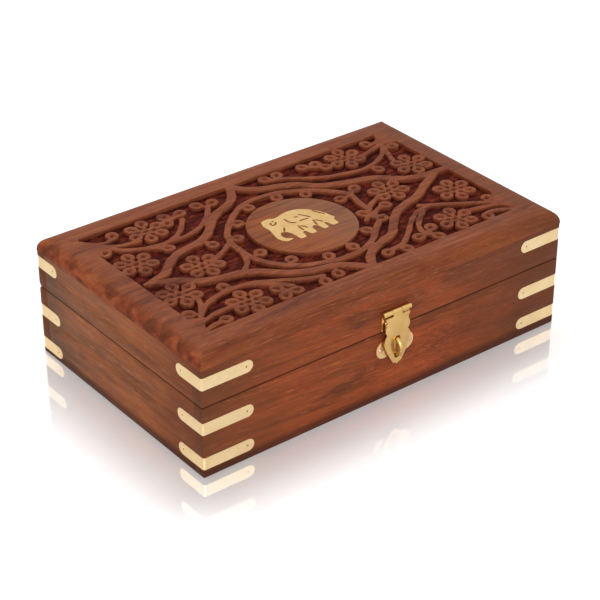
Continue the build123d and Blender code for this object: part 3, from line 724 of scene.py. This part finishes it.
def brass(name, dark, light, roughness, wear=150.0):
    """Yellow brass sheet, sanded and hand polished. To the eye: a warm mirror blurred by
    scratches 0.3 mm apart, with pale worn patches in thin brown tarnish. Wear is how many such
    patches there are to the metre: 150 are 7 mm wide and 400 are 2.5 mm."""
    metal = blank(name)
    place = add(metal, "ShaderNodeTexCoord").outputs["Object"]
    tarnish = add(
        metal, "ShaderNodeTexNoise",
        {"Vector": place, "Scale": wear, "Detail": 4.0, "Roughness": 0.6},
    ).outputs["Fac"]
    turned = add(
        metal, "ShaderNodeMapping",
        {"Vector": place, "Rotation": (0.3, 0.2, 0.5), "Scale": (500, 3300, 2100)},
    ).outputs["Vector"]
    scratches = add(
        metal, "ShaderNodeTexNoise", {"Vector": turned, "Scale": 1.0, "Detail": 2.0}
    ).outputs["Fac"]
    tint = add(
        metal, "ShaderNodeValToRGB", {"Fac": tarnish}, stops=[(0.3, dark), (0.62, light)]
    ).outputs["Color"]
    rough = add(
        metal, "ShaderNodeMapRange",
        {"Value": tarnish, "From Min": 0.3, "From Max": 0.7, "To Min": roughness + 0.07,
         "To Max": roughness - 0.04},
    ).outputs["Result"]
    bump = add(
        metal, "ShaderNodeBump",
        {"Height": scratches, "Strength": 0.06, "Distance": scratch_depth},
    ).outputs["Normal"]
    shader = add(
        metal, "ShaderNodeBsdfPrincipled",
        {"Base Color": tint, "Roughness": rough, "Metallic": 1.0, "Normal": bump},
    )
    add(metal, "ShaderNodeOutputMaterial", {"Surface": shader.outputs["BSDF"]})
    return metal


inlay_brass = brass("brass_inlay_sanded", "b7955c", "c5a46e", 0.42)
patina = brass("brass_engraving_tarnished", "35270f", "4d3a1a", 0.6)
outline = smooth_line(elephant_back, elephant_steps).tolist()[:-1]
outline += eased_corners(elephant_legs, foot_round)[:-1]
outline += smooth_line(elephant_trunk, elephant_steps).tolist()[:-1]
bm = cut_plate(
    [on_lid(*p) for p in outline],
    [[on_lid(*p) for p in groove(line, engraving_width)] for line in engraved],
    elephant_high.z, elephant_thickness, engraving_depth,
)
elephant = make_piece(bm, "elephant_plate", [inlay_brass, patina])
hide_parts("elephant_inlay")
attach(elephant, "lid")

# Twelve brass strips are bent round the upright corners, three to a corner, let in flush and
# pinned near both ends. Each is cut with round ends from 1 mm sheet and sanded with the wood.

strip_thickness = 0.001
bend_radius = 0.0011
half_bend = math.pi / 4 * bend_radius
bend_cuts = 6
pin_from_end = 0.0034
pin_radius = 0.00042
pin_sunk = 0.00028
pin_sides = 12
end_steps = 12
cut_tolerance = 1e-7
strip_brass = brass("brass_strip_sanded", "f5d5a0", "fbe1b1", 0.44)
pin_brass = brass("brass_pin_darkened", "5a3d20", "7c5a30", 0.5)


def arc(x, radius, start, sweep, steps):
    """An arc about a place on the strip's middle line."""
    turns = [start + sweep * step / steps for step in range(steps + 1)]
    return [(x + radius * math.cos(turn), radius * math.sin(turn)) for turn in turns]


def bent(along, across, sunk, corner, sides):
    """Carries a place on the flat strip round the corner. Along is 0 in the bend's middle."""
    if abs(along) < half_bend:
        turn = math.pi / 4 + along / bend_radius
        from_side = bend_radius - (bend_radius - sunk) * math.cos(turn)
        from_front = bend_radius - (bend_radius - sunk) * math.sin(turn)
    else:
        run = bend_radius + abs(along) - half_bend
        from_side, from_front = (run, sunk) if along > 0 else (sunk, run)
    return Vector((
        corner[0] - sides[0] * from_side, corner[1] - sides[1] * from_front, corner[2] + across
    ))


for name in [name for name in nodes if name.endswith("_strip")]:
    low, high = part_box(name)
    sides = (1 if high.x > 0 else -1, 1 if high.y > 0 else -1)
    corner = (sides[0] * half_x, sides[1] * half_y, (low.z + high.z) / 2)
    radius = (high.z - low.z) / 2
    bend_saving = bend_radius * (1 - math.pi / 4)
    front_end = high.x - low.x - bend_saving - radius
    side_end = high.y - low.y - bend_saving - radius
    outline = arc(front_end, radius, -math.pi / 2, math.pi, end_steps)
    outline += arc(-side_end, radius, math.pi / 2, math.pi, end_steps)
    pins = []
    for end, way in ((front_end, 1), (-side_end, -1)):
        middle = end + way * (radius - pin_from_end)
        pins.append(arc(middle, pin_radius, 0.0, 2 * math.pi, pin_sides)[:-1])
    bm = cut_plate(outline, pins, 0.0, strip_thickness, pin_sunk)
    for step in range(-bend_cuts, bend_cuts + 1):
        bmesh.ops.bisect_plane(
            bm, geom=bm.verts[:] + bm.edges[:] + bm.faces[:], dist=cut_tolerance,
            plane_co=(half_bend * step / bend_cuts, 0, 0), plane_no=(1, 0, 0),
        )
    for vert in bm.verts:
        vert.co = bent(vert.co.x, vert.co.y, -vert.co.z, corner, sides)
    strip = make_piece(bm, f"{name}_brass", [strip_brass, pin_brass])
    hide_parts(name)
    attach(strip, "lid" if name.startswith("lid") else "base")

# The walls are eight rosewood boards, four round the base and four round the lid. The front and
# back boards cover the ends of the side boards. All are sanded, and their edges are eased.

edge_ease = 0.00014
ease_segments = 2
ease_crease = math.radians(40)
flat_angle = math.radians(0.5)
merge_distance = 1e-6
board_slant = -0.07
seam_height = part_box("base_front_board")[1].z
long_tones = ("6a3824", "884427", "94492a", "a8572f", "c67648")
# The short boards are paler and greyer than the long ones by a painted sheen of the white surround
short_tones_with_sheen = ("6c3f2a", "8d5333", "9f5b36", "b06c41", "c88a5c")

# How the boards darken towards their ends: where it starts, where it is full, its share, shade
long_ends = ((0.02, 0.08, 0.72, "5c3724"), (-0.055, -0.1, 0.65, "5a3b26"))
short_ends = ((-0.014, -0.052, 0.7, "6a3624"), (0.02, 0.058, 0.6, "4e3826"))


def eased_copy(name, width):
    """A copy of a solid with its creases eased by small rounds."""
    bm = bmesh.new()
    bm.from_mesh(nodes[name].data)
    bmesh.ops.remove_doubles(bm, verts=bm.verts, dist=merge_distance)
    bmesh.ops.dissolve_limit(
        bm, angle_limit=flat_angle, verts=bm.verts, edges=bm.edges,
        use_dissolve_boundaries=False,
    )
    sharp = [e for e in bm.edges if e.is_manifold and e.calc_face_angle() > ease_crease]
    bmesh.ops.bevel(
        bm, geom=sharp, offset=width, offset_type="OFFSET", segments=ease_segments,
        profile=0.5, affect="EDGES", material=-1, clamp_overlap=True,
    )
    return bm


# Each board is sawn from its own place in the wood, so that no two have the same figure.
for storey, body in enumerate(("base", "lid")):
    for index, side in enumerate(("front", "back", "left", "right")):
        long = side in ("front", "back")
        # Each board gets painted shade along the seam, and the base boards a painted shadow at the
        # foot
        wood = rosewood(
            f"rosewood_{body}_{side}", long_tones if long else short_tones_with_sheen,
            shift=(0.17 * index, 0.11 * storey, 0.23 * index + 0.07 * storey),
            turn=0.0 if long else math.pi / 2, slant=board_slant,
            ends=long_ends if long else short_ends, seam=seam_height, dusty=long,
        )
        name = f"{body}_{side}_board"
        board = make_piece(eased_copy(name, edge_ease), f"{name}_wood", [wood])
        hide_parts(name)
        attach(board, body)

# The bottom is a plain rosewood panel, let into a rebate round the boards' lower edges and
# glued there. It is sanded but not oiled as often as the walls, and shows only from below.

bottom_ease = 0.0002
bottom_wood = rosewood(
    "rosewood_bottom_plain", ("5a2b1d", "7c412b", "87482f", "9c5a36", "b0704a"),
    shift=(0.4, 0.3, 0.1),
)
bottom = make_piece(
    eased_copy("base_bottom_panel", bottom_ease), "bottom_panel_wood", [bottom_wood]
)
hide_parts("base_bottom_panel")
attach(bottom, "base")

# The hasp is stamped from brass sheet: a plate nailed to the lid, with two outer knuckles, and
# a lobed leaf that hangs from it on a pin. The staple's plate on the base is stamped too, and
# its brass is painted paler, as painted light against the shade of the hasp's leaf. Tumbling
# has rounded every edge a little.

thick_ease = 0.00016
thin_ease = 0.0001
stamped_brass = brass("brass_stamped_polished", "dcb16a", "ebc47f", 0.28, wear=60.0)
# A paler copy of the stamped brass, painted light for the staple's plate in the leaf's shade
painted_paler_brass = brass("brass_stamped_painted_paler", "efc688", "f8d59b", 0.34, wear=60.0)
for name, body, width, finish in (
    ("hasp_leaf", "hasp", thick_ease, stamped_brass),
    ("hasp_fixed_plate", "lid", thin_ease, stamped_brass),
    ("staple_plate", "base", thick_ease, painted_paler_brass),
):
    sheet_metal = make_piece(eased_copy(name, width), f"{name}_brass", [finish])
    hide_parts(name)
    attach(sheet_metal, body)


def refinish(name, finish):
    """Gives a solid that keeps its own shape a finish."""
    nodes[name].data.materials.clear()
    nodes[name].data.materials.append(finish)


refinish("hasp_pin", stamped_brass)

# The staple's loop is a half ring of round brass wire whose two shanks go through the plate
# into the board. The hasp's slot drops over it, and a padlock goes through it.

wire_sides = 20
ring_steps = 20
loop_low, loop_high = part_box("staple_loop")
wire_radius = (loop_high.x - loop_low.x) / 2
ring_radius = (loop_high.z - loop_low.z) / 2 - wire_radius
ring_centre = Vector((
    (loop_low.x + loop_high.x) / 2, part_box("staple_plate")[0].y, (loop_low.z + loop_high.z) / 2
))
wire_brass = brass("brass_wire_drawn", "c9a05a", "ddb873", 0.32, wear=260.0)
bm = bmesh.new()
wire = bmesh.ops.create_circle(bm, segments=wire_sides, radius=wire_radius)["verts"]
bmesh.ops.rotate(bm, verts=wire, matrix=Matrix.Rotation(math.pi / 2, 3, "X"))
bmesh.ops.translate(bm, verts=wire, vec=ring_centre + Vector((0, 0, ring_radius)))
bmesh.ops.spin(
    bm, geom=bm.verts[:] + bm.edges[:], cent=ring_centre, axis=(1, 0, 0), angle=math.pi,
    steps=ring_steps, use_merge=False, use_duplicate=False,
)
wire_ends = [e for e in bm.edges if e.is_boundary]
grown = bmesh.ops.extrude_edge_only(bm, edges=wire_ends)["geom"]
shanks = [g for g in grown if isinstance(g, bmesh.types.BMVert)]
bmesh.ops.translate(bm, verts=shanks, vec=(0, loop_high.y - ring_centre.y, 0))
bmesh.ops.holes_fill(bm, edges=[e for e in bm.edges if e.is_boundary], sides=0)
loop = make_piece(bm, "staple_loop_wire", [wire_brass])
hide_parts("staple_loop")
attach(loop, "base")

# Four brass escutcheon nails with low domed heads hold the hasp's plate and the staple. Each
# head is polished by wear and pinker than the sheet, being of softer copper-rich brass.

head_radius = 0.0012
head_height = 0.00055
shank_radius = 0.0005
nail_brass = brass("brass_nail_copper_rich", "d8a486", "f0c6ac", 0.26, wear=400.0)
for name, body in (("hasp_plate_nails", "lid"), ("staple_plate_nails", "base")):
    low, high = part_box(name)
    face = low.y + head_height
    spots = [
        Vector((x, face, (low.z + high.z) / 2)) for x in (low.x + head_radius, high.x - head_radius)
    ]
    bm = bmesh.new()
    for spot in spots:
        nail = bmesh.ops.create_uvsphere(bm, u_segments=24, v_segments=16, radius=1)["verts"]
        bmesh.ops.rotate(bm, verts=nail, matrix=Matrix.Rotation(math.pi / 2, 3, "X"))
        bmesh.ops.scale(bm, verts=nail, vec=(head_radius, head_height, head_radius))
        bmesh.ops.translate(bm, verts=nail, vec=spot)
    bmesh.ops.bisect_plane(
        bm, geom=bm.verts[:] + bm.edges[:] + bm.faces[:], dist=cut_tolerance,
        plane_co=spots[0], plane_no=(0, 1, 0), clear_outer=True,
    )
    for spot in spots:
        around = Matrix.Translation(-spot)
        rim = [
            e for e in bm.edges
            if e.is_boundary and abs(e.verts[0].co.x - spot.x) < 2 * head_radius
        ]
        for share, reach in ((shank_radius / head_radius, 0.0), (1.0, high.y - face)):
            grown = bmesh.ops.extrude_edge_only(bm, edges=rim)["geom"]
            moved = [g for g in grown if isinstance(g, bmesh.types.BMVert)]
            bmesh.ops.scale(bm, verts=moved, vec=(share, 1, share), space=around)
            bmesh.ops.translate(bm, verts=moved, vec=(0, reach, 0))
            rim = [g for g in grown if isinstance(g, bmesh.types.BMEdge) and g.is_boundary]
        bmesh.ops.contextual_create(bm, geom=rim)
    nails = make_piece(bm, f"{name}_brass", [nail_brass])
    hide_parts(name)
    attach(nails, body)

# Two brass butt hinges are let into the rims at the back, each with a pin and countersunk brass
# screws. They are plainer and duller than the hasp, and only their knuckles show when shut.

hinge_brass = brass("brass_hinge_dulled", "a67f45", "c49c5c", 0.34, wear=120.0)
screw_brass = brass("brass_screw_turned", "b48c4e", "cfa968", 0.28, wear=300.0)
for name in [name for name in nodes if "hinge" in name]:
    refinish(name, screw_brass if "screws" in name else hinge_brass)

# The inside is lined with cotton velvet glued over card: a pad on the floor, one under the
# lid's top and a strip on every wall. Their edges are turned over and the pile lies unevenly,
# brushed in clouds of 25 mm, with tufts drawn 0.6 mm wide so that they show.

turned_edge = 0.00045
turned_segments = 3
velvet_cell = 0.005
velvet_give = 0.16
give_width = 0.014
clouds_per_metre = 40.0
tufts_per_metre = 1600.0
tuft_share = 0.35
pile_height = 0.0004
velvet = blank("velvet_cotton_maroon")
pile_place = add(velvet, "ShaderNodeTexCoord").outputs["Object"]
brushed = add(
    velvet, "ShaderNodeTexNoise", {"Vector": pile_place, "Scale": clouds_per_metre, "Detail": 5.0}
).outputs["Fac"]
tufts = add(
    velvet, "ShaderNodeTexNoise", {"Vector": pile_place, "Scale": tufts_per_metre, "Detail": 2.0}
).outputs["Fac"]
pile_tint = add(
    velvet, "ShaderNodeValToRGB", {"Fac": brushed},
    stops=[(0.34, "4a121c"), (0.5, "551620"), (0.66, "611b26")],
).outputs["Color"]
pile_tint = add(
    velvet, "ShaderNodeMix", {0: tuft_share, 6: pile_tint, 7: tufts},
    data_type="RGBA", blend_type="OVERLAY",
).outputs[2]
pile_bump = add(
    velvet, "ShaderNodeBump", {"Height": tufts, "Strength": 0.6, "Distance": pile_height}
).outputs["Normal"]
pile = add(
    velvet, "ShaderNodeBsdfPrincipled",
    {"Base Color": pile_tint, "Roughness": 0.9, "Normal": pile_bump, "Specular IOR Level": 0.1,
     "Sheen Weight": 0.55, "Sheen Roughness": 0.4, "Sheen Tint": "b0606c"},
)
add(velvet, "ShaderNodeOutputMaterial", {"Surface": pile.outputs["BSDF"]})
for name in [name for name in nodes if name.endswith("_lining")]:
    low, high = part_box(name)
    size = high - low
    middle = (low + high) / 2
    thin = min(range(3), key=lambda axis: size[axis])
    bm = bmesh.new()
    bmesh.ops.create_cube(bm, size=1)
    bmesh.ops.scale(bm, verts=bm.verts, vec=size)
    bmesh.ops.translate(bm, verts=bm.verts, vec=middle)
    bmesh.ops.bevel(
        bm, geom=bm.edges[:], offset=turned_edge, offset_type="OFFSET",
        segments=turned_segments, profile=0.5, affect="EDGES", material=-1,
    )
    for axis in [axis for axis in range(3) if axis != thin]:
        cells = max(2, round(size[axis] / velvet_cell))
        way = Vector((0, 0, 0))
        way[axis] = 1
        for cell in range(1, cells):
            bmesh.ops.bisect_plane(
                bm, geom=bm.verts[:] + bm.edges[:] + bm.faces[:], dist=cut_tolerance,
                plane_co=way * (low[axis] + size[axis] * cell / cells), plane_no=way,
            )
    for vert in bm.verts:
        give = velvet_give * (0.5 + 0.5 * noise.noise(vert.co / give_width))
        vert.co[thin] = middle[thin] + (vert.co[thin] - middle[thin]) * (1 - give)
    lining = make_piece(bm, f"{name}_velvet", [velvet])
    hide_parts(name)
    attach(lining, "lid" if name.startswith("lid") else "base")

# The studio is a glossy white acrylic table under a pale surround. The table mirrors the box
# near its foot, and the mirror image fades over a few centimetres.

mirror_fade = 0.046
mirror_share = 0.5
mirror_blur = 0.05
camera_glow = 0.35
table_reach = 3
table_gap = 0.0001
acrylic = blank("acrylic_white_polished")
rays = add(acrylic, "ShaderNodeLightPath").outputs
table_place = add(acrylic, "ShaderNodeTexCoord").outputs["Object"]
under = add(
    acrylic, "ShaderNodeVectorMath", {0: table_place, 1: (half_x, half_y, 1)},
    operation="MINIMUM",
).outputs["Vector"]
under = add(
    acrylic, "ShaderNodeVectorMath", {0: under, 1: (-half_x, -half_y, -1)}, operation="MAXIMUM"
).outputs["Vector"]
from_foot = add(
    acrylic, "ShaderNodeVectorMath", {0: table_place, 1: under}, operation="DISTANCE"
).outputs["Value"]
mirror = add(
    acrylic, "ShaderNodeMapRange",
    {"Value": from_foot, "From Max": mirror_fade, "To Min": mirror_share, "To Max": 0.0},
    interpolation_type="SMOOTHSTEP",
).outputs["Result"]
matt = add(acrylic, "ShaderNodeBsdfDiffuse", {"Color": "f0f0f0"}).outputs["BSDF"]
seen = add(
    acrylic, "ShaderNodeMath", {0: rays["Is Camera Ray"], 1: camera_glow}, operation="MULTIPLY"
).outputs[0]
white = add(
    acrylic, "ShaderNodeEmission", {"Color": "ffffff", "Strength": seen}
).outputs["Emission"]
lit = add(acrylic, "ShaderNodeAddShader", {0: matt, 1: white}).outputs["Shader"]
gloss = add(
    acrylic, "ShaderNodeBsdfGlossy", {"Color": "fffaf7", "Roughness": mirror_blur}
).outputs["BSDF"]
surface = add(acrylic, "ShaderNodeMixShader", {0: mirror, 1: lit, 2: gloss}).outputs["Shader"]
add(acrylic, "ShaderNodeOutputMaterial", {"Surface": surface})
bm = bmesh.new()
bmesh.ops.create_grid(bm, x_segments=1, y_segments=1, size=table_reach)
bmesh.ops.translate(bm, verts=bm.verts, vec=(0, 0, cad_bounds[0][2] - table_gap))
table = make_piece(bm, "table", [acrylic])

# The surround is white to the eye and in gloss, and lights the box with less than that. One
# large soft lamp hangs high behind the box, and one stands before it on the left.

ambient = 0.62
world = bpy.data.worlds.new("studio")
bpy.context.scene.world = world
world.use_nodes = True
world.node_tree.nodes.clear()
world_rays = add(world, "ShaderNodeLightPath").outputs
strength = add(
    world, "ShaderNodeMath", {0: world_rays["Is Diffuse Ray"], 1: ambient - 1.0, 2: 1.0},
    operation="MULTIPLY_ADD",
).outputs[0]
sky = add(world, "ShaderNodeBackground", {"Color": "ffffff", "Strength": strength})
add(world, "ShaderNodeOutputWorld", {"Surface": sky.outputs["Background"]})


def softbox(name, place, size, power):
    """A square lamp that faces the box."""
    lamp = bpy.data.lights.new(name, "AREA")
    lamp.shape = "RECTANGLE"
    lamp.size = size
    lamp.size_y = size
    lamp.energy = power
    holder = bpy.data.objects.new(name, lamp)
    holder.location = place
    holder.rotation_euler = (-Vector(place)).to_track_quat("-Z", "Y").to_euler()
    bpy.context.scene.collection.objects.link(holder)


softbox("overhead", place=(0.25, 0.75, 1.5), size=1.1, power=9)
softbox("front_fill", place=(-0.9, -1.2, 0.8), size=1.0, power=11)

# The camera stands where the photograph was taken from. Its place, aim and lens are those at
# which the box's straight edges fall on the photograph's.

camera_place = (-0.45907, -0.58552, 0.46707)
camera_aim = (0.52799, 0.67478, -0.51565)
scene = bpy.context.scene
scene.view_settings.view_transform = "Standard"
camera = bpy.data.objects.new("camera", bpy.data.cameras.new("camera"))
camera.data.sensor_width = 36
camera.data.lens = 112.22
camera.data.clip_start = 0.01
camera.location = camera_place
camera.rotation_euler = Vector(camera_aim).to_track_quat("-Z", "Y").to_euler()
scene.collection.objects.link(camera)
scene.camera = camera
